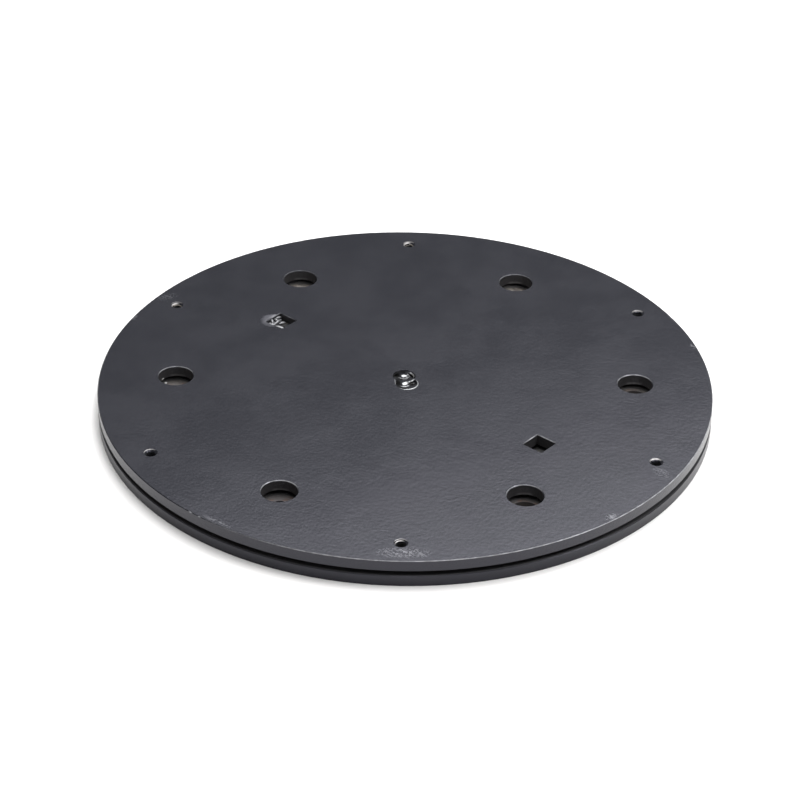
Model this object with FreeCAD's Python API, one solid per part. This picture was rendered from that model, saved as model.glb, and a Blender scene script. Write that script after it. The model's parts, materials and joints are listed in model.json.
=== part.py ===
import FreeCAD, Part
import math
import os

Vector = FreeCAD.Vector
AXIS = Vector(0, 0, 1)
CENTRE = Vector(0, 0, 0)

# Turntable base: two flat steel discs, one above the other, that turn on a ring of caged thrust rollers
# about a pivot pin. Millimetres, +Z up along the swivel axis, origin at the centre of the underside.

# Driving dimensions of the discs
disc_dia = 440.0
plate_thickness = 8.0
rim_break = 0.5
hole_break = 0.6

# Access holes through the upper disc, and the fixing holes that they uncover in the lower one
access_count = 6
access_dia = 25.0
access_from_rim = 55.0
fixing_dia = 11.0
fixing_head_dia = 20.0
countersunk_count = 2

# Tapped holes near the rim of the upper disc, drawn at the thread's minor diameter
tapped_count = 6
tapped_dia = 6.8
tapped_mouth_dia = 9.7
tapped_from_rim = 20.0

# Thrust rollers and their cage, which is made of arcs dovetailed end to end
roller_dia = 3.5
roller_length = 10.0
roller_clearance = 0.25
rollers_per_arc = 3
roller_ring_from_rim = 33.0
cage_arcs = 3
cage_relief = 0.5
cage_rail = 2.5
pocket_sides = 6
pocket_clearance = 0.1
dovetail_neck = 5.0
dovetail_head = 8.0
dovetail_reach = 5.0
dovetail_root = 1.0
dovetail_clearance = 0.15

# Pivot pin, its flanged bush in the lower disc, and what holds the two discs together from below
pin_dia = 16.0
pin_end_land = 1.1
running_clearance = 0.05
bush_wall = 2.0
bush_flange_dia = 28.0
bush_flange_thickness = 2.0
ring_thickness = 1.0
ring_groove_depth = 0.4
ring_band = 2.2
ring_ear = 3.7
ring_ear_width = 4.6
ring_opening = 3.0
recess_dia = 36.0
floor_setback = 0.5
thrust_gap = 0.2
seat_gap = 0.02

# Swivel stop: a square lug welded into the upper disc meets a pin pressed into the lower one
square_side = 16.0
square_from_rim = 97.0
square_angle = -40.3
lug_gap = 0.2
lug_setback = 5.5
stop_gap = 0.7
stop_pin_dia = 12.0
stop_pin_break = 0.6

# Plug welds: two puddles over the pivot pin, and a bead over one corner of the lug in a dished shoulder
puddle_dia = 16.4
puddle_depth = 3.0
puddle_spread = 10.0
puddle_angle = 101.0
puddle_rise = 2.6
bead_skin = 0.05
stop_bead_rise = 4.5
stop_bead_reach = 9.0
stop_bead_crown = 4.5
dish_dia = 20.0
dish_depth = 0.9
dish_floor_dia = 7.0
dish_shoulder_dia = 14.0
dish_shoulder_depth = 0.25
dish_offset = 4.1

# Values worked out from the dimensions above
disc_radius = disc_dia / 2
access_radius = disc_radius - access_from_rim
tapped_radius = disc_radius - tapped_from_rim
roller_radius = disc_radius - roller_ring_from_rim
square_radius = disc_radius - square_from_rim
plate_gap = roller_dia + 2 * roller_clearance
base_top = plate_thickness
upper_bottom = base_top + plate_gap
upper_top = upper_bottom + plate_thickness
gap_middle = base_top + plate_gap / 2
cut_margin = plate_thickness

pin_hole_radius = pin_dia / 2 + seat_gap
pin_top = upper_top - puddle_depth
bush_bore_radius = pin_dia / 2 + running_clearance
bush_radius = bush_bore_radius + bush_wall
ring_bottom = floor_setback + pin_end_land
ring_top = ring_bottom + ring_thickness
flange_bottom = ring_top + thrust_gap
recess_top = flange_bottom + bush_flange_thickness
groove_radius = pin_dia / 2 - ring_groove_depth

lug_angle = square_angle + 180
lug_side = square_side - 2 * lug_gap
lug_bottom = base_top + stop_gap
lug_top = upper_top - lug_setback
stop_pin_top = upper_bottom - stop_gap


def turned(points):
    """Solid turned about the swivel axis from a closed outline of (radius, height) points."""
    outline = [Vector(r, 0, z) for r, z in points]
    face = Part.Face(Part.makePolygon(outline + outline[:1]))
    return face.revolve(CENTRE, AXIS, 360)


def cylinder(radius, bottom, top, x=0.0, y=0.0):
    return Part.makeCylinder(radius, top - bottom, Vector(x, y, bottom))


def block(x_span, y_span, z_span):
    low = Vector(x_span[0], y_span[0], z_span[0])
    high = Vector(x_span[1], y_span[1], z_span[1])
    size = high - low
    return Part.makeBox(size.x, size.y, size.z, low)


def swung(shape, angle):
    """Copy of a shape turned about the swivel axis, in degrees."""
    copy = shape.copy()
    copy.rotate(CENTRE, AXIS, angle)
    return copy


def on_circle(shape, radius, count, first_angle=0.0):
    """Copies of a shape modelled on the axis, spaced evenly round a circle."""
    moved = shape.copy()
    moved.translate(Vector(radius, 0, 0))
    return [swung(moved, first_angle + 360 * i / count) for i in range(count)]


def single(shape):
    """The one solid of a finished piece, with faces that lie in one surface joined."""
    solids = shape.removeSplitter().Solids
    if len(solids) != 1:
        raise ValueError(f"a piece came out as {len(solids)} solids")
    return solids[0]


def square_bar(side, bottom, top):
    """Upright square bar where the lug circle crosses the X axis."""
    half = side / 2
    return block((square_radius - half, square_radius + half), (-half, half), (bottom, top))


def dovetail(clearance, half_height):
    """Dovetail at the end of a cage arc; with a clearance, the socket that it drops into."""
    neck = dovetail_neck / 2 + clearance
    head = dovetail_head / 2 + clearance
    bottom = gap_middle - half_height
    outline = [
        Vector(roller_radius - neck, -dovetail_root, bottom),
        Vector(roller_radius + neck, -dovetail_root, bottom),
        Vector(roller_radius + neck, 0, bottom),
        Vector(roller_radius + head, dovetail_reach + clearance, bottom),
        Vector(roller_radius - head, dovetail_reach + clearance, bottom),
        Vector(roller_radius - neck, 0, bottom),
    ]
    face = Part.Face(Part.makePolygon(outline + outline[:1]))
    return face.extrude(Vector(0, 0, 2 * half_height))


def base_plate():
    plate = turned([
        (recess_dia / 2, 0),
        (disc_radius, 0),
        (disc_radius, base_top - rim_break),
        (disc_radius - rim_break, base_top),
        (bush_radius + seat_gap, base_top),
        (bush_radius + seat_gap, recess_top),
        (recess_dia / 2, recess_top),
    ])
    above = base_top + cut_margin
    fixing_hole = cylinder(fixing_dia / 2, -cut_margin, above)
    head_radius = fixing_head_dia / 2
    countersink = turned([
        (0, base_top - head_radius),
        (head_radius, base_top),
        (head_radius, above),
        (0, above),
    ])
    holes = on_circle(fixing_hole, access_radius, access_count)
    holes += on_circle(countersink, access_radius, access_count, -360 / access_count)[:countersunk_count]
    stop_hole = cylinder(stop_pin_dia / 2 + seat_gap, -cut_margin, above, x=square_radius)
    return single(plate.cut(holes + [swung(stop_hole, square_angle)]))


def top_plate():
    plate = turned([
        (0, pin_top),
        (pin_hole_radius, pin_top),
        (pin_hole_radius, upper_bottom),
        (disc_radius, upper_bottom),
        (disc_radius, upper_top - rim_break),
        (disc_radius - rim_break, upper_top),
        (0, upper_top),
    ])
    below = upper_bottom - plate_gap / 2
    above = upper_top + cut_margin
    access_hole = turned([
        (0, below),
        (access_dia / 2, below),
        (access_dia / 2, upper_top - hole_break),
        (access_dia / 2 + hole_break, upper_top),
        (access_dia / 2 + hole_break, above),
        (0, above),
    ])
    mouth_depth = (tapped_mouth_dia - tapped_dia) / 2
    tapped_hole = turned([
        (0, below),
        (tapped_dia / 2, below),
        (tapped_dia / 2, upper_top - mouth_depth),
        (tapped_mouth_dia / 2, upper_top),
        (tapped_mouth_dia / 2, above),
        (0, above),
    ])
    half_step = 180 / tapped_count
    holes = on_circle(access_hole, access_radius, access_count)
    holes += on_circle(tapped_hole, tapped_radius, tapped_count, half_step)
    square = square_bar(square_side, below, above)
    holes += [swung(square, square_angle), swung(square, lug_angle)]
    holes += puddles(puddle_dia / 2, above)
    plate = plate.cut(holes)
    mouths = [e for e in plate.Edges if on_square_mouth(e)]
    return single(plate.makeChamfer(hole_break, mouths).cut(weld_dish()))


def on_square_mouth(edge):
    """Whether an edge bounds a square hole on the upper face."""
    box = edge.BoundBox
    middle = swung(Part.Vertex(box.Center), -square_angle).Point
    half = square_side / 2 + seat_gap
    offset = abs(abs(middle.x) - square_radius)
    return box.ZMin > upper_top - seat_gap and offset < half and abs(middle.y) < half


def puddles(radius, top):
    """The two overlapping rounds of the weld over the pivot pin."""
    return on_circle(cylinder(radius, pin_top, top), puddle_spread / 2, 2, puddle_angle)


def weld_dish():
    """Shallow dish between the middle and one corner of the lug, with a shoulder that rolls into the disc."""
    dish = turned([
        (0, upper_top - dish_depth),
        (dish_floor_dia / 2, upper_top - dish_depth),
        (dish_shoulder_dia / 2, upper_top - dish_shoulder_depth),
        (dish_dia / 2, upper_top),
        (dish_dia / 2, upper_top + cut_margin),
        (0, upper_top + cut_margin),
    ])
    dish.translate(Vector(square_radius + dish_offset, dish_offset, 0))
    return swung(dish, lug_angle)


def pivot_pin():
    shank = pin_dia / 2
    return single(turned([
        (0, floor_setback),
        (shank, floor_setback),
        (shank, ring_bottom),
        (groove_radius, ring_bottom),
        (groove_radius, ring_top),
        (shank, ring_top),
        (shank, pin_top),
        (0, pin_top),
    ]))


def pivot_bush():
    return single(turned([
        (bush_bore_radius, flange_bottom),
        (bush_flange_dia / 2, flange_bottom),
        (bush_flange_dia / 2, recess_top),
        (bush_radius, recess_top),
        (bush_radius, base_top),
        (bush_bore_radius, base_top),
    ]))


def retaining_ring():
    bore = groove_radius + seat_gap
    heights = (ring_bottom + seat_gap, ring_top - seat_gap)
    ears = block((0, bore + ring_ear), (-ring_ear_width, ring_ear_width), heights)
    ring = cylinder(bore + ring_band, *heights).fuse(ears)
    ring = ring.common(cylinder(bore + ring_ear, *heights))
    opening = block((0, pin_dia), (-ring_opening / 2, ring_opening / 2), heights)
    return single(ring.cut([cylinder(bore, *heights), opening]))


def pivot_weld():
    front, back = puddles(puddle_dia / 2 - bead_skin, pin_top + puddle_rise)
    return single(front.fuse(back))


def stop_lug():
    return single(swung(square_bar(lug_side, lug_bottom, lug_top), lug_angle))


def stop_weld():
    """Bead over one corner of the lug, kept inside the square hole."""
    corner = lug_side / 2
    seat = Vector(square_radius + corner, corner, lug_top)
    bead = Part.makeCone(stop_bead_reach, stop_bead_crown, stop_bead_rise, seat)
    hole = square_bar(square_side - 2 * bead_skin, lug_top, upper_top)
    return single(swung(bead.common(hole), lug_angle))


def stop_pin():
    radius = stop_pin_dia / 2
    pin = turned([
        (0, floor_setback),
        (radius, floor_setback),
        (radius, stop_pin_top - stop_pin_break),
        (radius - stop_pin_break, stop_pin_top),
        (0, stop_pin_top),
    ])
    pin.translate(Vector(square_radius, 0, 0))
    return single(swung(pin, square_angle))


def thrust_roller(angle):
    """Roller lying along a spoke of the ring."""
    start = Vector(roller_radius - roller_length / 2, 0, gap_middle)
    return single(swung(Part.makeCylinder(roller_dia / 2, roller_length, start, Vector(1, 0, 0)), angle))


def roller_pocket(angle):
    """Flat-sided pocket along a spoke; where the cage's faces cut it, it is narrower than the roller."""
    length = roller_length + 2 * pocket_clearance
    corner_radius = (roller_dia / 2 + pocket_clearance) / math.cos(math.pi / pocket_sides)
    start = roller_radius - length / 2
    corners = [2 * math.pi * i / pocket_sides for i in range(pocket_sides + 1)]
    outline = [
        Vector(start, corner_radius * math.cos(a), gap_middle + corner_radius * math.sin(a)) for a in corners
    ]
    return swung(Part.Face(Part.makePolygon(outline)).extrude(Vector(length, 0, 0)), angle)


def cage_arc(middle_angle, roller_angles):
    """One arc of the cage, with a snap pocket for each roller, and a dovetail and its socket at the ends."""
    half_width = roller_length / 2 + pocket_clearance + cage_rail
    half_height = roller_dia / 2 - cage_relief
    section = Part.Face(Part.makePolygon([
        Vector(roller_radius - half_width, 0, gap_middle - half_height),
        Vector(roller_radius + half_width, 0, gap_middle - half_height),
        Vector(roller_radius + half_width, 0, gap_middle + half_height),
        Vector(roller_radius - half_width, 0, gap_middle + half_height),
        Vector(roller_radius - half_width, 0, gap_middle - half_height),
    ]))
    joint_angle = math.degrees(dovetail_clearance / roller_radius)
    span = 360 / cage_arcs - joint_angle
    first_angle = middle_angle - span / 2
    end_angle = middle_angle + 180 / cage_arcs
    arc = swung(section.revolve(CENTRE, AXIS, span), first_angle)
    arc = arc.fuse(swung(dovetail(0, half_height), end_angle))
    pockets = [roller_pocket(a) for a in roller_angles]
    socket = swung(dovetail(dovetail_clearance, plate_gap / 2), end_angle - 360 / cage_arcs)
    return single(arc.cut(pockets + [socket]))


def roller_ring():
    """Nodes of the roller ring: every roller, and every arc of the cage."""
    nodes = {}
    step = 360 / (cage_arcs * rollers_per_arc)
    for arc in range(cage_arcs):
        first = arc * rollers_per_arc
        angles = [(first + i + 0.5) * step for i in range(rollers_per_arc)]
        nodes[f"cage_arc_{arc + 1}"] = cage_arc(sum(angles) / rollers_per_arc, angles)
        for i, angle in enumerate(angles):
            nodes[f"thrust_roller_{first + i + 1:02d}"] = thrust_roller(angle)
    return nodes


pieces = {
    "base_plate": base_plate(),
    "top_plate": top_plate(),
    "pivot_pin": pivot_pin(),
    "pivot_bush": pivot_bush(),
    "retaining_ring": retaining_ring(),
    "pivot_weld": pivot_weld(),
    "stop_lug": stop_lug(),
    "stop_weld": stop_weld(),
    "stop_pin": stop_pin(),
}
pieces.update(roller_ring())

os.makedirs("parts", exist_ok=True)
for node, solid in pieces.items():
    solid.exportStep(f"parts/{node}.step")
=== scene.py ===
import json
import math

import bmesh
import bpy
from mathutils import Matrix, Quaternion, Vector


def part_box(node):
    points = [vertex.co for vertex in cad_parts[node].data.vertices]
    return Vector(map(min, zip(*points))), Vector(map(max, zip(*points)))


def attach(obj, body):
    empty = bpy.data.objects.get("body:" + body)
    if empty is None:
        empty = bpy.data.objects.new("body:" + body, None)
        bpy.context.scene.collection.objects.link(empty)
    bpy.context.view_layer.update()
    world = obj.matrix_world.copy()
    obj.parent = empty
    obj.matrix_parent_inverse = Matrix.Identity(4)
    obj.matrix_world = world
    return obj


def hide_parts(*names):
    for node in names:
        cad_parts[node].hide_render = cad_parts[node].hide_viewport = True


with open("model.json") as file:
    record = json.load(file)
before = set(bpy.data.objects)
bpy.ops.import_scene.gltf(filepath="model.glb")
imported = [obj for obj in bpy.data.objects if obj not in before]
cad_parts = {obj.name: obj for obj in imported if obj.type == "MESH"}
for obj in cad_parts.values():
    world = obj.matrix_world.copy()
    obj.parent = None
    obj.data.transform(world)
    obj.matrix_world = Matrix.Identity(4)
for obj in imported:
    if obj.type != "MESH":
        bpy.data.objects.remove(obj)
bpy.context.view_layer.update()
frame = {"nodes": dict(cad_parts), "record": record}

# Sizes are in metres and angles in degrees, apart from tables that say they are in millimetres
MM = 0.001

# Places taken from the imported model
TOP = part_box("top_plate")[1].z
UPPER_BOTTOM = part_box("top_plate")[0].z
BASE_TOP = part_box("base_plate")[1].z
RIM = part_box("top_plate")[1].x
PIT_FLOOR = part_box("pivot_weld")[0].z
LUG_MIDDLE = (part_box("stop_lug")[0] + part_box("stop_lug")[1]) / 2
LUG_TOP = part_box("stop_lug")[1].z

# Tapped holes of the upper disc, and which of them have a bright thread, a painted glint; the others get a
# black thread, as painted shade
TAPPED_COUNT = 6
TAPPED_CIRCLE = RIM - 20 * MM
TAPPED_FIRST_ANGLE = 30.0
TAPPED_MOUTH = 4.85 * MM
TAPPED_GLINT = (False, True, True, False, False, False)

# Bright arcs in the mouths of the tapped holes: hole, strength, depth in millimetres from and to, bearing
TAPPED_ARCS = [
    (0, 0.4, 0.0, 0.8, 95),
    (1, 0.3, 0.0, 0.6, 100),
    (1, 0.8, 0.6, 1.5, 135),
    (2, 0.2, 0.0, 0.6, 100),
    (2, 0.9, 0.8, 1.5, 135),
    (3, 0.6, 0.0, 0.4, 120),
    (4, 0.9, 0.0, 0.25, 95),
    (4, 0.9, 0.75, 1.2, 120),
    (5, 0.85, 0.0, 0.7, 100),
]

# Arcs: soft edge in millimetres, and where they start and are full, in radii ahead of the hole's middle
ARC_SOFT = 0.1
ARC_FULL = 0.8
TAPPED_ARC_START = 0.2
ACCESS_ARC_START = -0.2

# Thread of the tapped holes: its foot is sunk in the wall, and it is bright only above a depth, painted
# black below it as shade deeper in the bore
THREAD_ROOT = 3.43 * MM
THREAD_CREST = 3.02 * MM
THREAD_PITCH = 1.25 * MM
THREAD_FOOT = 0.9 * THREAD_PITCH
THREAD_SINK = 0.041 * MM
THREAD_BLUNT = 0.08 * MM
THREAD_TURNS = 4
THREAD_STEPS = 32
THREAD_START = 0.9 * MM
THREAD_BRIGHT = 2.7 * MM
THREAD_DARK = 3.1 * MM

# Access holes of the upper disc, each right above a fixing hole of the lower one
ACCESS_COUNT = 6
ACCESS_CIRCLE = RIM - 55 * MM
ACCESS_RADIUS = 12.5 * MM
# Share of worn paint and painted highlight on the far edge of each hole
ACCESS_WORN_HIGHLIGHT = (0.8, 0.4, 0.3, 0.6, 0.9, 0.8)
ACCESS_BEARING = 100.0

# Their broken edges, and their walls, which start below the face and have a painted reflection, a lighter
# foot, at the far side
HOLE_BREAK = 0.6 * MM
BREAK_FULL = 0.8 * HOLE_BREAK
ACCESS_MOUTH = ACCESS_RADIUS + 1.2 * HOLE_BREAK
WALL_START = 0.7 * MM
WALL_FULL = 0.9 * MM
WALL_ZONE_START = 30 * MM
WALL_ZONE_FULL = 35 * MM
FOOT_RADIUS = 7 * MM
FOOT_HEIGHT = 2.2 * MM
FOOT_FULL = 0.8 * MM

# Lower disc: bare rounds at the fixing holes, painted as pools of light where light falls through the
# access holes, with the oxide and the inner face painted lighter to the rear, where more light falls in
BARE_RADIUS = 12.3 * MM
BARE_FADE = 0.6 * MM
REAR_START = -0.07
REAR_FULL = 0.18

# How far down its face ends and a countersink begins, and how far in from its rim it is dull
BASE_FACE = 0.05 * MM
BASE_EDGE = 0.1 * MM
BASE_SUNK = 0.3 * MM
INSIDE_START = 0.3 * MM
INSIDE_FULL = 0.7 * MM
DULL_RING = 5 * MM

# Painted glints, white spots at the bottom of the left access hole: one in its wall, one on the lower disc
WALL_GLINT = (-175.4 * MM, 7.2 * MM)
FLOOR_GLINT = (-173.6 * MM, 9 * MM)
GLINT_RADIUS = 1.3 * MM
GLINT_HEIGHT = 1.2 * MM
GLINT_FULL = 0.6 * MM

# The lug's square hole, with an open one opposite, and the face dished by the weld beside the first
SQUARE_SIDE = 15.9 * MM
SQUARE_ANGLE = -40.3
DISH_MIDDLE = (-99.6 * MM, 79.1 * MM)
DISH_RADIUS = 10 * MM

# Worn edges of the square holes, lighter as wear and as painted highlight: 1 for the lug's or -1 for the
# open one, bearing of the edge, strength
SQUARE_WORN_HIGHLIGHT = [
    (-1, SQUARE_ANGLE + 180, 1.0),
    (-1, SQUARE_ANGLE + 90, 0.9),
    (-1, SQUARE_ANGLE, 0.5),
    (1, SQUARE_ANGLE + 180, 0.6),
    (1, SQUARE_ANGLE + 90, 0.3),
]

# Ovals on the upper face: middle in millimetres, length, width, turn, strength
EDGE_LENGTH = 22
EDGE_WIDTH = 6
# Chips at the rim's edge, lighter as wear and as painted glints
RIM_CHIPS_AND_GLINTS = [
    ((-139.8, -168.9), 4, 4, 0, 1.0),
    ((-133.6, -174.3), 3, 3, 0, 1.0),
    ((145.9, -164.3), 4, 4, 0, 1.0),
]
RUBBED_PATCHES = [
    ((2, -211), 46, 15, 0, 0.8),
    ((176, -113), 22, 12, -55, 0.35),
    ((-181, 112), 24, 12, 30, 0.22),
    ((-203, 80), 10, 5, 65, 0.5),
    ((-121, -180), 34, 6, -35, 0.45),
    ((139, -166), 14, 8, 40, 0.8),
    ((199, 93), 18, 6, -65, 0.6),
    ((211, 54), 12, 5, -75, 0.6),
]
# Soot in the weld's hollows, also painted shade in the dark parts of the pit
SOOT_AND_SHADE_PATCHES = [
    ((-6.6, 8.6), 8, 9, 0, 1.0),
    ((-5.6, -1.6), 6, 16, 8, 0.9),
    ((-0.8, 3.4), 12, 4, 0, 0.9),
    ((4.8, -3.2), 9, 6, 15, 1.0),
    ((5.0, 6.8), 9, 6, -55, 1.0),
    ((-1.2, -9.4), 13, 4.5, -8, 1.0),
]
OVAL_CORE = 0.2

# How far down the ovals reach, and how far either side of the face a weld goes over to rubbed and painted
# lighter as a highlight
MARK_DEPTH = 2 * MM
SOOT_AND_SHADE_DEPTH = 20 * MM
PROUD_FADE = 0.1 * MM

# Worn rim with a painted highlight: a narrow band at the edge, on the front right only, where the side
# lamp's highlight falls, from right below the face
RIM_BAND_START = 1.2 * MM
RIM_BAND_FULL = 0.8 * MM
WORN_SIDE = (0.6, -0.8)
WORN_SIDE_START = 0.02
WORN_SIDE_FULL = 0.2
BELOW_FACE_START = 0.02 * MM
BELOW_FACE_FULL = 0.1 * MM

# Grain of the finishes: the size of one blotch, how fine and rough it is, how it is drawn out and turned
PEEL = {"cell": 1.9 * MM, "stretch": (0.8, 1.3, 1)}
WAVE = {"cell": 7 * MM, "detail": 1, "roughness": 0.4}
SMUDGES = {"cell": 45 * MM, "detail": 4, "roughness": 0.6}
SPECKLES = {"cell": 1.7 * MM, "detail": 4, "roughness": 0.65}
SCRATCHES = {"cell": 2.4 * MM, "detail": 3, "roughness": 0.6, "stretch": (3, 0.6, 1), "turn": -42.0}
WEAR = {"cell": 6 * MM, "detail": 3, "roughness": 0.6}
LOWER_PEEL = {"cell": 2.3 * MM}
OXIDE = {"cell": 3 * MM, "detail": 4, "roughness": 0.65}
RUST = {"cell": 5 * MM, "detail": 4, "roughness": 0.6}
STEEL_GRAIN = {"cell": 0.6 * MM, "detail": 3}
STAIN = {"cell": 5 * MM, "detail": 3}
SMEARS = {"cell": 2 * MM, "detail": 4, "roughness": 0.6, "stretch": (3, 0.7, 1), "turn": 40.0}
RIPPLES = {"cell": 2.5 * MM, "roughness": 0.45}
NYLON_GRAIN = {"cell": 0.8 * MM, "detail": 3}
FLOOR_CLOUDS = {"cell": 0.5}

# How deep it is
PEEL_DEPTH = 0.12 * MM
WAVE_SHARE = 0.25
LOWER_PEEL_DEPTH = 0.06 * MM
STEEL_DEPTH = 0.01 * MM
SMEAR_DEPTH = 0.06 * MM
RIPPLE_DEPTH = 0.04 * MM
NYLON_DEPTH = 0.02 * MM

# Between which of its levels, from 0 to 1, a mark made from it fades in
SMUDGE_FADE = (0.35, 0.65)
SPECKLE_FADE = (0.5, 0.62)
SCRATCH_FADE = (0.52, 0.62)
WEAR_FADE = (0.4, 0.6)
OXIDE_FADE = (0.7, 0.3)
RUST_FADE = (0.5, 0.62)
STAIN_FADE = (0.45, 0.8)
SMEAR_FADE = (0.42, 0.65)

# Shares of such marks
WEAR_LEAST = 0.6
RUST_FRONT = 0.8
RUST_REAR = 0.2
STAIN_SHARE = 0.6

# Roughness of the finishes, then what marks and grain add to it
PAINT_ROUGH = 0.245
LOWER_ROUGH = 0.26
WELD_ROUGH = 0.08
THIN_WELD_ROUGH = 0.44
STEEL_ROUGH = 0.25
SPRING_ROUGH = 0.3
BRONZE_ROUGH = 0.3
THREAD_ROUGH = 0.3
OXIDE_ROUGH = 0.5
NYLON_ROUGH = 0.55
FLOOR_ROUGH = 0.9
SMUDGE_ADDS = 0.025
RUBBED_ADDS = 0.15
DISH_ADDS = 0.45
BARE_ADDS = 0.3
WALL_ADDS = 0.2
INSIDE_ADDS = 0.5
TAN_ADDS = 0.06
RIPPLE_ADDS = 0.08
STEEL_ADDS = 0.15
THREAD_ADDS = 0.2
SMEAR_ADDS = 0.3
NYLON_ADDS = 0.2

# Pivot weld: two puddles on the floor of the pit
PUDDLE_RADIUS = 8.1 * MM
PUDDLE_OFFSET = 5 * MM
PUDDLE_ANGLE = 101.0
PUDDLE_DEPTH = 1.3 * MM

# Its lobes, in millimetres from the middle of the upper face: place, half sizes, turn
PIVOT_LOBES = [
    ((-1.4, 7.6, -2.3), (4.2, 3.4, 2.0), 6),
    ((-0.3, -1.6, -2.4), (4.4, 5.4, 2.3), -18),
]

# Its ridges, in millimetres from the same middle: half width, half height, points
PIVOT_STREAK = (1.5, 1.1, [(1.6, -1.2, -1.2), (4.6, -0.7, -1.1), (5.9, 1.6, -1.1), (6.1, 4.6, -1.4)])
LEFT_LIP = (
    0.6,
    0.45,
    [(-8.9, 3.0, -0.3), (-7.6, 0.2, -0.3), (-7.4, -2.5, -0.3), (-7.1, -6.5, -0.3), (-6.2, -9.2, -0.3)],
)

# Its ridges round a puddle, in millimetres: half width, half height, radius, level, two bearings, points
NEAR_LIP = (0.75, 0.5, 8.2, -0.15, 226, 402, 12)
BACK_SHELF = (2.1, 1.2, 7.0, -1.2, 12, 82, 6)

# Stop weld: mounds over the lug, in millimetres from the middle of its top: place, half sizes, turn
STOP_MOUNDS = [
    ((-7.0, 0.0, 0.8), (4.8, 5.6, 2.2), 0),
    ((-2.6, -2.6, 0.3), (4.4, 4.6, 2.0), -45),
    ((-2.6, 4.6, 0.3), (3.2, 3.6, 2.2), 30),
]

# Its crossing strokes and the run over the near edge, in millimetres from the face above the lug's middle
STROKE_WIDTH = 1.15
STROKE_HEIGHT = 1.1
STOP_STROKES = [
    [(-6.9, 5.0, -2.4), (-6.9, 2.6, -2.0), (-6.2, 0.4, -2.2)],
    [(-5.2, 5.6, -2.3), (-2.9, 3.0, -2.2)],
    [(-5.2, -3.6, -2.0), (-2.4, 0.9, -1.6), (-0.4, 4.6, -2.0)],
    [(-1.0, -0.9, -2.4), (2.6, 1.5, -2.6)],
    [(-4.4, 7.0, -2.6), (-0.9, 9.6, -2.8)],
]
STOP_RUN = (1.1, 0.7, [(-3.4, -7.6, -0.2), (-0.4, -9.3, -0.2), (2.2, -10.6, -0.2)])
TRIM_ABOVE = 2 * MM

# Skins of the three beads, and how drawn-out lobes are built up
PIVOT_SKIN = {"voxel": 0.2 * MM, "ripple": 0.12 * MM, "ripple_cell": 3 * MM, "smoothing": 10}
STOP_SKIN = {"voxel": 0.22 * MM, "ripple": 0.12 * MM, "ripple_cell": 2.5 * MM, "smoothing": 4}
RUN_SKIN = {"voxel": 0.2 * MM, "ripple": 0.1 * MM, "ripple_cell": 2 * MM, "smoothing": 4}
SKIN_SMOOTHING = 0.5
SKIN_LAST_ROUNDS = 2
LUMP_SEGMENTS = 32
PUDDLE_SEGMENTS = 96
RIDGE_STEPS = 6
RIDGE_END = 0.45
SMOOTH_ANGLE = 40.0

# Camera: a long lens that looks at the middle of the upper face, in a picture 800 pixels wide and high
PICTURE = 800.0
MIDDLE_PIXEL = (405.4, 379.7)
LENS_PIXELS = 2536.8
SENSOR_WIDTH = 36.0
CAMERA_DISTANCE = 1.8222
CAMERA_ELEVATION = 32.141
CAMERA_AZIMUTH = 0.356
CAMERA_ROLL = 0.862

# Light
ROOM_TINT = (0.965, 0.975, 1.0, 1)
ROOM_LIGHT = 0.21
OVERHEAD_LIGHT = 0.9
OVERHEAD_PLACE = (0, 0.05, 2)
OVERHEAD_SPREAD = 36.0
REAR_LIGHT = 3.4
REAR_PLACE = (0.2, 0.8, 2)
REAR_SPREAD = 44.0
KEY_LIGHT = 7.05
KEY_PLACE = (0.194, 0.519, 0.895)
KEY_SIZE = (1.127, 0.719)
KEY_TURN = 29.0
SIDE_LIGHT = 2.3
SIDE_PLACE = (0.55, -0.22, 0.56)
SIDE_SIZE = 0.34
FRONT_LIGHT = 1.6
FRONT_PLACE = (0.05, -0.5, 0.78)
FRONT_SIZE = 0.3
FLOOR_SIZE = 40.0

# Shine of the coating, of the weld's thicker coat, and of other finishes
PAINT_IOR = 1.58
PAINT_SHEEN = (0.65, 0.64, 0.735, 1)
WELD_IOR = 1.9
OXIDE_SHINE = 0.2
NYLON_SHINE = 0.4
THREAD_METAL = 0.3

# Colours, linear
PAINT_BLACK = (0.0075, 0.008, 0.0105, 1)
PAINT_DUSTY = (0.0095, 0.01, 0.0125, 1)
PAINT_RUBBED = (0.135, 0.135, 0.14, 1)
# Worn paint on edges, also a painted highlight
PAINT_WORN_HIGHLIGHT = (0.3, 0.3, 0.305, 1)
PAINT_DULL = (0.045, 0.044, 0.043, 1)
PAINT_THIN = (0.025, 0.025, 0.027, 1)
PAINT_WALL = (0.036, 0.035, 0.035, 1)
# Painted reflection at the foot of the far walls
PAINT_REFLECTED_FOOT = (0.1, 0.098, 0.096, 1)
# Rubbed weld standing proud, also a painted highlight
PAINT_PROUD_HIGHLIGHT = (0.15, 0.15, 0.153, 1)
# White of the painted glints
GLINT_WHITE = (0.85, 0.84, 0.82, 1)
# Inner faces of the lower disc: the lighter one to the rear, the darker one to the front, as painted light
# and shade
INNER_FACE = (0.12, 0.114, 0.108, 1)
INNER_DARK = (0.045, 0.043, 0.041, 1)
THREAD_STEEL = (0.42, 0.385, 0.34, 1)
# Dull dark metal below the lower disc's face; in the countersinks its darkness is painted shade
COUNTERSINK_SHADE = (0.032, 0.028, 0.027, 1)
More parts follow.
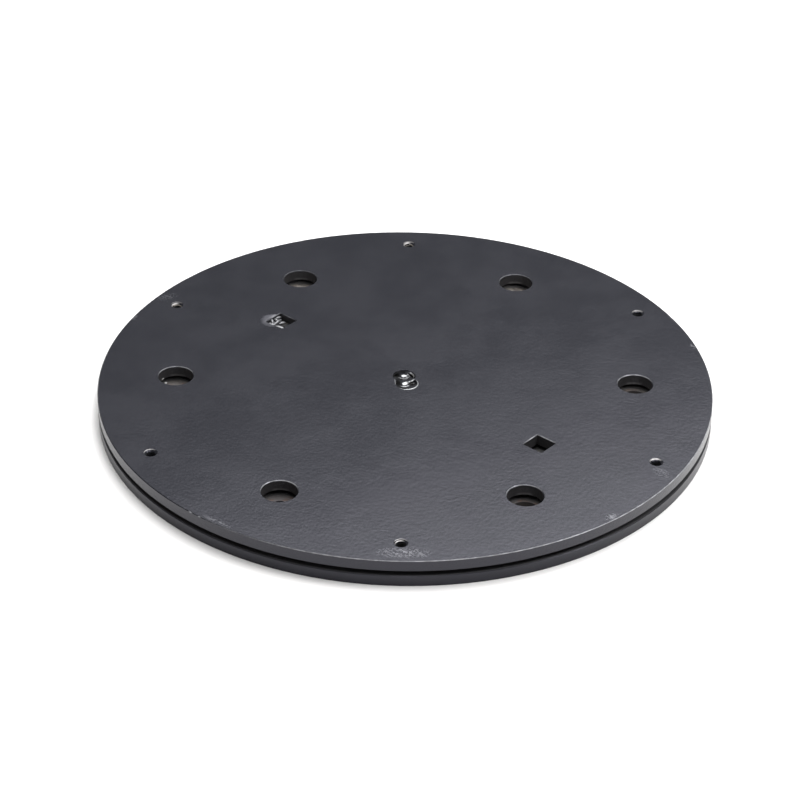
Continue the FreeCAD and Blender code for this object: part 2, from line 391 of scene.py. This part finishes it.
# Black of soot, also painted shade
SOOT_AND_SHADE = (0.012, 0.0115, 0.011, 1)
BARE_STEEL = (0.56, 0.54, 0.52, 1)
DARK_STEEL = (0.10, 0.10, 0.102, 1)
TAN_OXIDE = (0.275, 0.248, 0.21, 1)
GREY_OXIDE = (0.06, 0.054, 0.05, 1)
RUST_BROWN = (0.075, 0.047, 0.035, 1)
PIN_BROWN = (0.016, 0.0145, 0.012, 1)
BRONZE = (0.5, 0.34, 0.16, 1)
FLOOR_WHITE = (0.775, 0.76, 0.737, 1)
FLOOR_SHADE = (0.755, 0.741, 0.718, 1)


class Value:
    """A socket that carries a number, a colour or a vector. Arithmetic on numbers adds Math nodes."""

    def __init__(self, finish, socket):
        self.finish = finish
        self.socket = socket

    def combine(self, operation, first, second):
        return self.finish.node("ShaderNodeMath", {"operation": operation}, {0: first, 1: second})

    def __add__(self, other):
        return self.combine("ADD", self, other)

    def __sub__(self, other):
        return self.combine("SUBTRACT", self, other)

    def __rsub__(self, other):
        return self.combine("SUBTRACT", other, self)

    def __mul__(self, other):
        return self.combine("MULTIPLY", self, other)

    __radd__ = __add__
    __rmul__ = __mul__

    def smaller(self, other):
        return self.combine("MINIMUM", self, other)

    def larger(self, other):
        return self.combine("MAXIMUM", self, other)

    def rise(self, low, high):
        """0 below low, 1 above high and a smooth step between; with low above high, the other way round."""
        sockets = {"Value": self, "From Min": low, "From Max": high}
        return self.finish.node("ShaderNodeMapRange", {"interpolation_type": "SMOOTHSTEP"}, sockets)


class Finish:
    """A material, and the nodes that feed its shader."""

    def __init__(self, name, **constants):
        self.material = bpy.data.materials.new(name)
        self.material.use_nodes = True
        self.tree = self.material.node_tree
        self.shader = self.tree.nodes["Principled BSDF"]
        self.place = self.node("ShaderNodeTexCoord", {}, {}, "Object")
        for socket, value in constants.items():
            self.shader.inputs[socket.replace("_", " ")].default_value = value

    def node(self, kind, settings, sockets, output=0):
        """Add a node of a type, set it up, then give its sockets their values or links."""
        node = self.tree.nodes.new(kind)
        for key, value in settings.items():
            setattr(node, key, value)
        for key, value in sockets.items():
            self.feed(node.inputs[key], value)
        return Value(self, node.outputs[output])

    def feed(self, socket, value):
        if isinstance(value, Value):
            self.tree.links.new(value.socket, socket)
        else:
            socket.default_value = value

    def drive(self, **inputs):
        """Link what varies over the surface to the shader."""
        for socket, value in inputs.items():
            self.feed(self.shader.inputs[socket.replace("_", " ")], value)

    def noise(self, cell, detail=2.0, roughness=0.5, stretch=(1, 1, 1), turn=0.0):
        """Noise whose blotches are about one cell across, in metres, then stretched along turned axes."""
        turned = {"Vector": self.place, "Rotation": (0, 0, math.radians(turn)), "Scale": stretch}
        place = self.node("ShaderNodeMapping", {"vector_type": "TEXTURE"}, turned)
        sockets = {"Vector": place, "Scale": 1 / cell, "Detail": detail, "Roughness": roughness}
        return self.node("ShaderNodeTexNoise", {}, sockets)

    def mix(self, mask, first, second):
        """Colour that goes from first to second as the mask goes from 0 to 1."""
        return self.node("ShaderNodeMix", {"data_type": "RGBA"}, {0: mask, 6: first, 7: second}, 2)

    def bump(self, height, depth):
        return self.node("ShaderNodeBump", {}, {"Strength": 1.0, "Distance": depth, "Height": height})

    def along(self, axis):
        return self.node("ShaderNodeSeparateXYZ", {}, {0: self.place}, axis)

    def distance(self, point):
        """How far a point of the surface is from a point, seen from above."""
        flat = self.node("ShaderNodeVectorMath", {"operation": "MULTIPLY"}, {0: self.place, 1: (1, 1, 0)})
        target = (point[0], point[1], 0)
        return self.node("ShaderNodeVectorMath", {"operation": "DISTANCE"}, {0: flat, 1: target}, "Value")

    def spot(self, place, radius):
        """1 in the inner half of a round, fading to 0 at its edge."""
        return self.distance(place).rise(radius, 0.5 * radius)

    def patch(self, place, size, turn, depth):
        """1 in the middle of an oval on the upper face, falling to 0 at its edge and at a depth."""
        sockets = {
            "Vector": self.place,
            "Location": (*place, TOP),
            "Rotation": (0, 0, math.radians(turn)),
            "Scale": (size[0] / 2, size[1] / 2, depth),
        }
        own = self.node("ShaderNodeMapping", {"vector_type": "TEXTURE"}, sockets)
        out = self.node("ShaderNodeVectorMath", {"operation": "LENGTH"}, {0: own}, "Value")
        return out.rise(1.0, OVAL_CORE)

    def patches(self, ovals, depth):
        """The sum of many ovals, each given in millimetres by middle, length, width, turn and strength."""
        total = 0.0
        for (x, y), length, width, turn, strength in ovals:
            total = strength * self.patch((x * MM, y * MM), (length * MM, width * MM), turn, depth) + total
        return total

    def arc(self, hole, radius, bearing, start):
        """1 inside a hole's radius on the side of a bearing, 0 behind a start given in radii."""
        angle = math.radians(bearing)
        ahead = (self.along("X") - hole.x) * math.cos(angle) + (self.along("Y") - hole.y) * math.sin(angle)
        within = self.distance(hole).rise(radius, radius - ARC_SOFT * MM)
        return within * ahead.rise(start * radius, ARC_FULL * radius)


def on_circle(radius, count, first_angle):
    """Points spaced evenly round the swivel axis."""
    angles = [math.radians(first_angle + 360 * i / count) for i in range(count)]
    return [Vector((radius * math.cos(a), radius * math.sin(a), 0)) for a in angles]


def tapped_holes():
    return on_circle(TAPPED_CIRCLE, TAPPED_COUNT, TAPPED_FIRST_ANGLE)


def access_holes():
    return on_circle(ACCESS_CIRCLE, ACCESS_COUNT, 0)


def square_edges():
    """An oval along each worn edge of the square holes."""
    ovals = []
    for side, bearing, strength in SQUARE_WORN_HIGHLIGHT:
        x = side * LUG_MIDDLE.x + SQUARE_SIDE / 2 * math.cos(math.radians(bearing))
        y = side * LUG_MIDDLE.y + SQUARE_SIDE / 2 * math.sin(math.radians(bearing))
        ovals.append(((x / MM, y / MM), EDGE_LENGTH, EDGE_WIDTH, bearing + 90, strength))
    return ovals


def rubbed_mask(paint):
    """Where the coating is rubbed and scratched: speckles and short scratches inside each oval."""
    speckles = paint.noise(**SPECKLES).rise(*SPECKLE_FADE)
    scratches = paint.noise(**SCRATCHES).rise(*SCRATCH_FADE)
    return paint.patches(RUBBED_PATCHES, MARK_DEPTH).smaller(1.0) * speckles.larger(scratches)


def worn_and_highlighted_edges(paint, height):
    """Where the coating is worn thin and painted lighter as a highlight: the rim's edge at the front right
    and the far mouths of large holes.
    """
    at_rim = paint.distance((0, 0)).rise(RIM - RIM_BAND_START, RIM - RIM_BAND_FULL)
    sideways = WORN_SIDE[0] * paint.along("X") + WORN_SIDE[1] * paint.along("Y")
    at_side = sideways.rise(WORN_SIDE_START, WORN_SIDE_FULL)
    places = at_rim * at_side + paint.patches(square_edges() + RIM_CHIPS_AND_GLINTS, MARK_DEPTH)
    for hole, share in zip(access_holes(), ACCESS_WORN_HIGHLIGHT):
        places = share * paint.arc(hole, ACCESS_MOUTH, ACCESS_BEARING, ACCESS_ARC_START) + places
    above_wall = height.rise(TOP - HOLE_BREAK, TOP - BREAK_FULL)
    below_face = height.rise(TOP - BELOW_FACE_START, TOP - BELOW_FACE_FULL)
    uneven = WEAR_LEAST + (1 - WEAR_LEAST) * paint.noise(**WEAR).rise(*WEAR_FADE)
    return above_wall * below_face * places * uneven


def bright_arcs(paint, height):
    """Where the mouths of the tapped holes are bare."""
    holes = tapped_holes()
    arcs = 0.0
    for i, share, shallow, deep, bearing in TAPPED_ARCS:
        upper = height.rise(TOP - (shallow - ARC_SOFT / 2) * MM, TOP - (shallow + ARC_SOFT / 2) * MM)
        lower = height.rise(TOP - (deep + ARC_SOFT) * MM, TOP - deep * MM)
        arcs = share * upper * lower * paint.arc(holes[i], TAPPED_MOUTH, bearing, TAPPED_ARC_START) + arcs
    return arcs


def painted_reflection_feet(paint, height):
    """Painted reflection: where the far walls of the access holes are lighter, right above the lower disc.
    """
    spots = 0.0
    for hole in access_holes():
        spots = paint.spot(hole + Vector((0, ACCESS_RADIUS, 0)), FOOT_RADIUS) + spots
    return spots * height.rise(UPPER_BOTTOM + FOOT_HEIGHT, UPPER_BOTTOM + FOOT_FULL)


def upper_disc_paint():
    """Satin black coating with orange peel, rubbed in places, worn along edges with painted highlights, and
    with painted reflections and glints in its holes.
    """
    paint = Finish("upper_disc_paint", IOR=PAINT_IOR, Specular_Tint=PAINT_SHEEN)
    height = paint.along("Z")
    smudges = paint.noise(**SMUDGES).rise(*SMUDGE_FADE)
    bare = bright_arcs(paint, height)
    inward = paint.distance((0, 0)).rise(RIM - WALL_ZONE_START, RIM - WALL_ZONE_FULL)
    wall = height.rise(TOP - WALL_START, TOP - WALL_FULL) * inward
    dish = paint.spot(DISH_MIDDLE, DISH_RADIUS)
    low = height.rise(UPPER_BOTTOM + GLINT_HEIGHT, UPPER_BOTTOM + GLINT_FULL)
    rubbed = rubbed_mask(paint)
    coating = paint.mix(smudges, PAINT_BLACK, PAINT_DUSTY)
    coating = paint.mix(wall, coating, PAINT_WALL)
    coating = paint.mix(painted_reflection_feet(paint, height), coating, PAINT_REFLECTED_FOOT)
    coating = paint.mix(dish, coating, PAINT_THIN)
    coating = paint.mix(rubbed, coating, PAINT_RUBBED)
    coating = paint.mix(worn_and_highlighted_edges(paint, height), coating, PAINT_WORN_HIGHLIGHT)
    # A white spot painted as a glint
    coating = paint.mix(paint.spot(WALL_GLINT, GLINT_RADIUS) * low, coating, GLINT_WHITE)
    rough = PAINT_ROUGH + SMUDGE_ADDS * smudges + RUBBED_ADDS * rubbed + DISH_ADDS * dish
    paint.drive(
        Base_Color=paint.mix(bare, coating, BARE_STEEL),
        Metallic=bare,
        Roughness=rough + BARE_ADDS * bare + WALL_ADDS * wall,
        Normal=paint.bump(paint.noise(**PEEL) + WAVE_SHARE * paint.noise(**WAVE), PEEL_DEPTH),
    )
    return paint.material


def bare_lit_rounds(paint, height):
    """Where the lower disc is bare, on its face round each fixing hole, right below an access hole: a
    painted pool of light, where light falls through that hole.
    """
    first, *others = access_holes()
    nearest = paint.distance(first)
    for hole in others:
        nearest = paint.distance(hole).smaller(nearest)
    on_face = height.rise(BASE_TOP - BASE_EDGE, BASE_TOP - BASE_FACE)
    return on_face * nearest.rise(BARE_RADIUS + BARE_FADE, BARE_RADIUS)


def lower_disc_paint():
    """The same coating, duller inside, with bare, lightly rusted rounds at the fixing holes, painted as
    pools of light and lighter to the rear, and countersinks darkened as painted shade.
    """
    paint = Finish("lower_disc_paint", IOR=PAINT_IOR, Specular_Tint=PAINT_SHEEN)
    height = paint.along("Z")
    off_axis = paint.distance((0, 0))
    inside = off_axis.rise(RIM - INSIDE_START, RIM - INSIDE_FULL)
    outer_edge = off_axis.rise(RIM - DULL_RING, RIM - INSIDE_FULL)
    sunk = inside * height.rise(BASE_TOP - BASE_EDGE, BASE_TOP - BASE_SUNK)
    # Lighter to the rear as painted light; the share of rust also follows it
    rear = paint.along("Y").rise(REAR_START, REAR_FULL)
    oxide = paint.noise(**OXIDE)
    rust = paint.noise(**RUST).rise(*RUST_FADE)
    steel = paint.mix(rear * oxide.rise(*OXIDE_FADE), GREY_OXIDE, TAN_OXIDE)
    steel = paint.mix(rust * (RUST_FRONT - (RUST_FRONT - RUST_REAR) * rear), steel, RUST_BROWN)
    coating = paint.mix(inside, PAINT_BLACK, paint.mix(rear, INNER_DARK, INNER_FACE))
    coating = paint.mix(inside * outer_edge, coating, PAINT_DULL)
    # Below the face: dark dull metal, darkening the countersinks as painted shade
    coating = paint.mix(sunk, coating, COUNTERSINK_SHADE)
    # Bare rounds: pools of light painted where light falls through the access holes
    coating = paint.mix(bare_lit_rounds(paint, height), coating, steel)
    paint.drive(
        # A white spot painted as a glint
        Base_Color=paint.mix(paint.spot(FLOOR_GLINT, GLINT_RADIUS), coating, GLINT_WHITE),
        Metallic=sunk,
        Roughness=LOWER_ROUGH + INSIDE_ADDS * inside + TAN_ADDS * oxide,
        Normal=paint.bump(paint.noise(**LOWER_PEEL), LOWER_PEEL_DEPTH),
    )
    return paint.material


def machined_steel(name, colour, roughness):
    """Bare metal with fine grain and a little staining."""
    steel = Finish(name, Metallic=1.0)
    grain = steel.noise(**STEEL_GRAIN)
    stain = steel.noise(**STAIN).rise(*STAIN_FADE)
    steel.drive(
        Base_Color=steel.mix(STAIN_SHARE * stain, colour, TAN_OXIDE),
        Roughness=roughness + STEEL_ADDS * grain,
        Normal=steel.bump(grain, STEEL_DEPTH),
    )
    return steel.material


def thread_steel():
    """Thread that is bright in its first turn and painted black below, as shade deeper in the bore."""
    steel = Finish("thread_steel", Metallic=THREAD_METAL)
    first_turn = steel.along("Z").rise(TOP - THREAD_DARK, TOP - THREAD_BRIGHT)
    grain = steel.noise(**STEEL_GRAIN)
    steel.drive(
        Base_Color=steel.mix(first_turn, PAINT_BLACK, THREAD_STEEL),
        Roughness=THREAD_ROUGH + THREAD_ADDS * grain,
        Normal=steel.bump(grain, STEEL_DEPTH),
    )
    return steel.material


def dark_oxide():
    """Steel left black by heat and paint mist, with brown smears."""
    steel = Finish("dark_oxide", Specular_IOR_Level=OXIDE_SHINE)
    smears = steel.noise(**SMEARS)
    steel.drive(
        Base_Color=steel.mix(smears.rise(*SMEAR_FADE), PAINT_BLACK, PIN_BROWN),
        Roughness=OXIDE_ROUGH + SMEAR_ADDS * smears,
        Normal=steel.bump(smears, SMEAR_DEPTH),
    )
    return steel.material


def weld_gloss(name, coat, roughness):
    """Coating pooled over a weld: shinier than on the disc, black in hollows as soot and as painted shade,
    rubbed and painted lighter as a highlight where proud.
    """
    gloss = Finish(name, IOR=WELD_IOR)
    ripples = gloss.noise(**RIPPLES)
    soot_and_shade = gloss.patches(SOOT_AND_SHADE_PATCHES, SOOT_AND_SHADE_DEPTH).smaller(1.0)
    # Proud parts: rubbed, and painted lighter as a highlight
    proud_highlight = gloss.along("Z").rise(TOP - PROUD_FADE, TOP + PROUD_FADE)
    colour = gloss.mix(soot_and_shade, gloss.mix(ripples, PAINT_BLACK, coat), SOOT_AND_SHADE)
    gloss.drive(
        Base_Color=gloss.mix(proud_highlight, colour, PAINT_PROUD_HIGHLIGHT),
        Metallic=soot_and_shade - proud_highlight,
        Roughness=roughness + RIPPLE_ADDS * ripples,
        Normal=gloss.bump(ripples, RIPPLE_DEPTH),
    )
    return gloss.material


def cage_nylon():
    """Moulded cage of the rollers."""
    nylon = Finish("cage_nylon", Specular_IOR_Level=NYLON_SHINE)
    grain = nylon.noise(**NYLON_GRAIN)
    nylon.drive(
        Base_Color=nylon.mix(grain, PAINT_BLACK, PAINT_DUSTY),
        Roughness=NYLON_ROUGH + NYLON_ADDS * grain,
        Normal=nylon.bump(grain, NYLON_DEPTH),
    )
    return nylon.material


def make_finishes():
    """The finishes by name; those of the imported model's slots have the slot's name."""
    return {
        "upper_disc": upper_disc_paint(),
        "lower_disc": lower_disc_paint(),
        "painted_weld": weld_gloss("weld_gloss", PAINT_DUSTY, WELD_ROUGH),
        "thin_weld": weld_gloss("thin_weld", PAINT_RUBBED, THIN_WELD_ROUGH),
        "bare_steel": machined_steel("bare_steel", BARE_STEEL, STEEL_ROUGH),
        "spring_steel": machined_steel("spring_steel", DARK_STEEL, SPRING_ROUGH),
        "bronze": machined_steel("bronze", BRONZE, BRONZE_ROUGH),
        "cage_nylon": cage_nylon(),
        "blackened": dark_oxide(),
        "thread": thread_steel(),
    }


def dress_nodes(finishes):
    """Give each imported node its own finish, or else its slot's."""
    own = {
        "top_plate": "upper_disc",
        "base_plate": "lower_disc",
        "stop_lug": "blackened",
        "stop_pin": "blackened",
    }
    for part in frame["record"]["subparts"]:
        finish = own.get(part["node"], part["material_slot"])
        frame["nodes"][part["node"]].material_slots[0].material = finishes[finish]


def deselect():
    bpy.ops.object.select_all(action="DESELECT")


def make_active(piece):
    deselect()
    piece.select_set(True)
    bpy.context.view_layer.objects.active = piece


def remove(piece):
    make_active(piece)
    bpy.ops.object.delete()


def apply_modifier(piece, kind, **settings):
    """Add a modifier to a piece, set it up and apply it."""
    make_active(piece)
    modifier = piece.modifiers.new(kind.lower(), kind)
    for key, value in settings.items():
        setattr(modifier, key, value)
    bpy.ops.object.modifier_apply(modifier=modifier.name)


def settle(piece):
    """Move a piece's place into its mesh."""
    make_active(piece)
    bpy.ops.object.transform_apply(location=True, rotation=True, scale=True)


def finish_piece(piece, name, material):
    """Name a piece of the upper disc, give it its finish and let it ride on the disc."""
    piece.name = name
    piece.data.name = name
    piece.data.materials.clear()
    piece.data.materials.append(material)
    make_active(piece)
    bpy.ops.object.shade_smooth_by_angle(angle=math.radians(SMOOTH_ANGLE))
    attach(piece, "top")


def select_points(piece, test):
    """In edit mode, select the points of a piece that pass a test of their place."""
    shape = bmesh.from_edit_mesh(piece.data)
    for point in shape.verts:
        point.select = test(point.co)
    shape.select_flush_mode()
    bmesh.update_edit_mesh(piece.data)


def thread_ridge():
    """Thread of one tapped hole: a blunt V swept up the bore, standing on the swivel axis."""
    half_depth = (THREAD_ROOT - THREAD_CREST) / 2
    deselect()
    bpy.ops.mesh.primitive_circle_add(vertices=4, radius=half_depth, rotation=(math.pi / 2, 0, 0))
    ridge = bpy.context.object
    settle(ridge)
    bpy.ops.object.mode_set(mode="EDIT")
    bpy.ops.mesh.select_all(action="SELECT")
    bpy.ops.transform.resize(value=(2, 1, THREAD_FOOT / 2 / half_depth))
    select_points(ridge, lambda co: co.x > half_depth)
    bpy.ops.transform.translate(value=(THREAD_SINK - 2 * half_depth, 0, 0))
    select_points(ridge, lambda co: co.x < -half_depth)
    bpy.ops.mesh.bevel(offset=THREAD_BLUNT, affect="VERTICES")
    bpy.ops.mesh.select_all(action="SELECT")
    bpy.ops.transform.translate(value=(THREAD_ROOT, 0, 0))
    bpy.ops.object.mode_set(mode="OBJECT")
    turns = {"screw_offset": THREAD_PITCH, "iterations": THREAD_TURNS}
    apply_modifier(ridge, "SCREW", steps=THREAD_STEPS, render_steps=THREAD_STEPS, **turns)
    bpy.ops.object.mode_set(mode="EDIT")
    bpy.ops.mesh.select_all(action="SELECT")
    bpy.ops.mesh.fill_holes(sides=8)
    bpy.ops.mesh.normals_make_consistent(inside=False)
    bpy.ops.object.mode_set(mode="OBJECT")
    return ridge


def add_threads(bright, dark):
    """The same thread in every tapped hole, each turned with its hole."""
    first = thread_ridge()
    bottom = UPPER_BOTTOM + THREAD_START
    for i, hole in enumerate(tapped_holes()):
        make_active(first)
        bpy.ops.object.duplicate()
        thread = bpy.context.object
        thread.location = hole + Vector((0, 0, bottom))
        thread.rotation_euler.z = math.radians(TAPPED_FIRST_ANGLE + 360 * i / TAPPED_COUNT)
        settle(thread)
        # Threads in holes that glint get the bright finish; the others get the blackened one, as painted
        # shade
        finish_piece(thread, f"thread_{i + 1}", bright if TAPPED_GLINT[i] else dark)
    remove(first)


def shifted(point, origin):
    """A point in millimetres, moved by an origin in metres."""
    return Vector([own + start / MM for own, start in zip(point, origin)])


def lump(place, size, turn):
    """One lobe of molten metal, in millimetres: a flattened ball, turned in plan."""
    deselect()
    bpy.ops.mesh.primitive_uv_sphere_add(segments=LUMP_SEGMENTS, ring_count=LUMP_SEGMENTS // 2, radius=MM)
    ball = bpy.context.object
    ball.location = place * MM
    ball.rotation_euler.z = math.radians(turn)
    ball.scale = size
    settle(ball)
    return ball


def lobes(origin, table):
    """A lobe for each row of a table of places, half sizes and turns."""
    return [lump(shifted(place, origin), size, turn) for place, size, turn in table]


def ridge(origin, width, height, points):
    """A drawn-out lobe along points in millimetres from an origin, that thins out to both ends."""
    line = [shifted(point, origin) for point in points]
    places = []
    for start, end in zip(line, line[1:]):
        for i in range(RIDGE_STEPS):
            places.append(start.lerp(end, i / RIDGE_STEPS))
    places.append(line[-1])
    made = []
    for i, place in enumerate(places):
        swell = RIDGE_END + (1 - RIDGE_END) * math.sin(math.pi * (i + 0.5) / len(places))
        made.append(lump(place, (width * swell, width * swell, height * swell), 0))
    return made


def arc_ridge(middle, width, height, radius, level, first_angle, last_angle, count):
    """A drawn-out lobe along an arc about a place on the upper face, measured in millimetres."""
    points = []
    for i in range(count):
        angle = math.radians(first_angle + (last_angle - first_angle) * i / (count - 1))
        points.append((radius * math.cos(angle), radius * math.sin(angle), level))
    return ridge((middle.x, middle.y, TOP), width, height, points)


def melt(lumps, voxel, ripple, ripple_cell, smoothing):
    """Join lobes into one skin, smooth it and give it the uneven surface of set metal."""
    deselect()
    for ball in lumps:
        ball.select_set(True)
    bead = lumps[0]
    bpy.context.view_layer.objects.active = bead
    bpy.ops.object.join()
    apply_modifier(bead, "REMESH", mode="VOXEL", voxel_size=voxel)
    apply_modifier(bead, "SMOOTH", factor=SKIN_SMOOTHING, iterations=smoothing)
    clouds = bpy.data.textures.new("set_metal", "CLOUDS")
    clouds.noise_scale = ripple_cell
    apply_modifier(bead, "DISPLACE", texture=clouds, strength=ripple, mid_level=0.5)
    apply_modifier(bead, "SMOOTH", factor=SKIN_SMOOTHING, iterations=SKIN_LAST_ROUNDS)
    return bead


def puddle_floor(offset):
    """Round pool of metal in the bottom of the pit."""
    deselect()
    bpy.ops.mesh.primitive_cylinder_add(vertices=PUDDLE_SEGMENTS, radius=PUDDLE_RADIUS, depth=PUDDLE_DEPTH)
    pool = bpy.context.object
    pool.location = offset + Vector((0, 0, PIT_FLOOR + PUDDLE_DEPTH / 2))
    settle(pool)
    return pool


def add_pivot_weld(material):
    """Two lobes, one behind the other, a drawn-out one beside them, and lips on the pit's edge."""
    face = (0, 0, TOP)
    back, near = on_circle(PUDDLE_OFFSET, 2, PUDDLE_ANGLE)
    lumps = [puddle_floor(back), puddle_floor(near)]
    lumps += lobes(face, PIVOT_LOBES)
    lumps += ridge(face, *PIVOT_STREAK)
    lumps += arc_ridge(near, *NEAR_LIP)
    lumps += arc_ridge(back, *BACK_SHELF)
    lumps += ridge(face, *LEFT_LIP)
    bead = melt(lumps, **PIVOT_SKIN)
    finish_piece(bead, "pivot_weld_bead", material)
    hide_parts("pivot_weld")


def square_trim():
    """Bar that fills the square hole of the lug, to trim the bead to."""
    deselect()
    bpy.ops.mesh.primitive_cube_add(size=1)
    bar = bpy.context.object
    bar.scale = (SQUARE_SIDE, SQUARE_SIDE, TOP - LUG_TOP + TRIM_ABOVE)
    bar.rotation_euler.z = math.radians(SQUARE_ANGLE)
    bar.location = (LUG_MIDDLE.x, LUG_MIDDLE.y, (TOP + LUG_TOP + TRIM_ABOVE) / 2)
    settle(bar)
    return bar


def add_stop_weld(material):
    """Bead over the lug's left corner: mounds with short crossing strokes, and a run over the near edge."""
    face = (LUG_MIDDLE.x, LUG_MIDDLE.y, TOP)
    lumps = lobes((LUG_MIDDLE.x, LUG_MIDDLE.y, LUG_TOP), STOP_MOUNDS)
    for stroke in STOP_STROKES:
        lumps += ridge(face, STROKE_WIDTH, STROKE_HEIGHT, stroke)
    bead = melt(lumps, **STOP_SKIN)
    bar = square_trim()
    apply_modifier(bead, "BOOLEAN", operation="INTERSECT", object=bar, solver="EXACT")
    remove(bar)
    finish_piece(bead, "stop_weld_bead", material)
    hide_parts("stop_weld")
    run = melt(ridge(face, *STOP_RUN), **RUN_SKIN)
    finish_piece(run, "stop_weld_run", material)


def add_floor():
    """Plain pale floor."""
    deselect()
    bpy.ops.mesh.primitive_plane_add(size=FLOOR_SIZE)
    floor = bpy.context.object
    floor.name = "floor"
    white = Finish("floor_white", Roughness=FLOOR_ROUGH, Specular_IOR_Level=0.0)
    white.drive(Base_Color=white.mix(white.noise(**FLOOR_CLOUDS), FLOOR_WHITE, FLOOR_SHADE))
    floor.data.materials.append(white.material)


def add_world():
    """Even, dim light from all round."""
    world = bpy.data.worlds.new("studio")
    world.use_nodes = True
    bpy.context.scene.world = world
    background = world.node_tree.nodes["Background"]
    background.inputs["Color"].default_value = ROOM_TINT
    background.inputs["Strength"].default_value = ROOM_LIGHT


def add_light(name, kind, place, turn, power, **settings):
    """A lamp that shines from a place towards the middle of the upper face, rolled about that line."""
    light = bpy.data.lights.new(name, kind)
    light.energy = power
    light.color = ROOM_TINT[:3]
    for key, value in settings.items():
        setattr(light, key, value)
    lamp = bpy.data.objects.new(name, light)
    bpy.context.scene.collection.objects.link(lamp)
    lamp.location = place
    lamp.rotation_mode = "QUATERNION"
    roll = Quaternion((0, 0, 1), math.radians(turn))
    aim = Vector((0, 0, TOP)) - Vector(place)
    lamp.rotation_quaternion = aim.to_track_quat("-Z", "Y") @ roll


def add_lights():
    """Two wide suns, a large key light behind the part, and two small lamps at its side and front."""
    add_light("overhead", "SUN", OVERHEAD_PLACE, 0, OVERHEAD_LIGHT, angle=math.radians(OVERHEAD_SPREAD))
    add_light("rear", "SUN", REAR_PLACE, 0, REAR_LIGHT, angle=math.radians(REAR_SPREAD))
    width, height = KEY_SIZE
    add_light("key", "AREA", KEY_PLACE, KEY_TURN, KEY_LIGHT, shape="RECTANGLE", size=width, size_y=height)
    add_light("side", "AREA", SIDE_PLACE, 0, SIDE_LIGHT, shape="DISK", size=SIDE_SIZE)
    add_light("front", "AREA", FRONT_PLACE, 0, FRONT_LIGHT, shape="DISK", size=FRONT_SIZE)


def add_camera():
    """Camera at the photograph's angle, shifted so that the middle of the upper face falls on its pixel."""
    camera = bpy.data.objects.new("camera", bpy.data.cameras.new("camera"))
    bpy.context.scene.collection.objects.link(camera)
    bpy.context.scene.camera = camera
    azimuth = math.radians(CAMERA_AZIMUTH)
    elevation = math.radians(CAMERA_ELEVATION)
    level = math.cos(elevation)
    back = Vector((math.sin(azimuth) * level, -math.cos(azimuth) * level, math.sin(elevation)))
    camera.location = Vector((0, 0, TOP)) + back * CAMERA_DISTANCE
    camera.rotation_mode = "QUATERNION"
    roll = Quaternion((0, 0, 1), math.radians(CAMERA_ROLL))
    camera.rotation_quaternion = (-back).to_track_quat("-Z", "Y") @ roll
    camera.data.sensor_width = SENSOR_WIDTH
    camera.data.lens = LENS_PIXELS / PICTURE * SENSOR_WIDTH
    camera.data.shift_x = 0.5 - MIDDLE_PIXEL[0] / PICTURE
    camera.data.shift_y = MIDDLE_PIXEL[1] / PICTURE - 0.5


finishes = make_finishes()
dress_nodes(finishes)
add_threads(finishes["thread"], finishes["blackened"])
add_pivot_weld(finishes["painted_weld"])
add_stop_weld(finishes["thin_weld"])
add_floor()
add_world()
add_lights()
add_camera()
bpy.context.scene.view_settings.view_transform = "Standard"
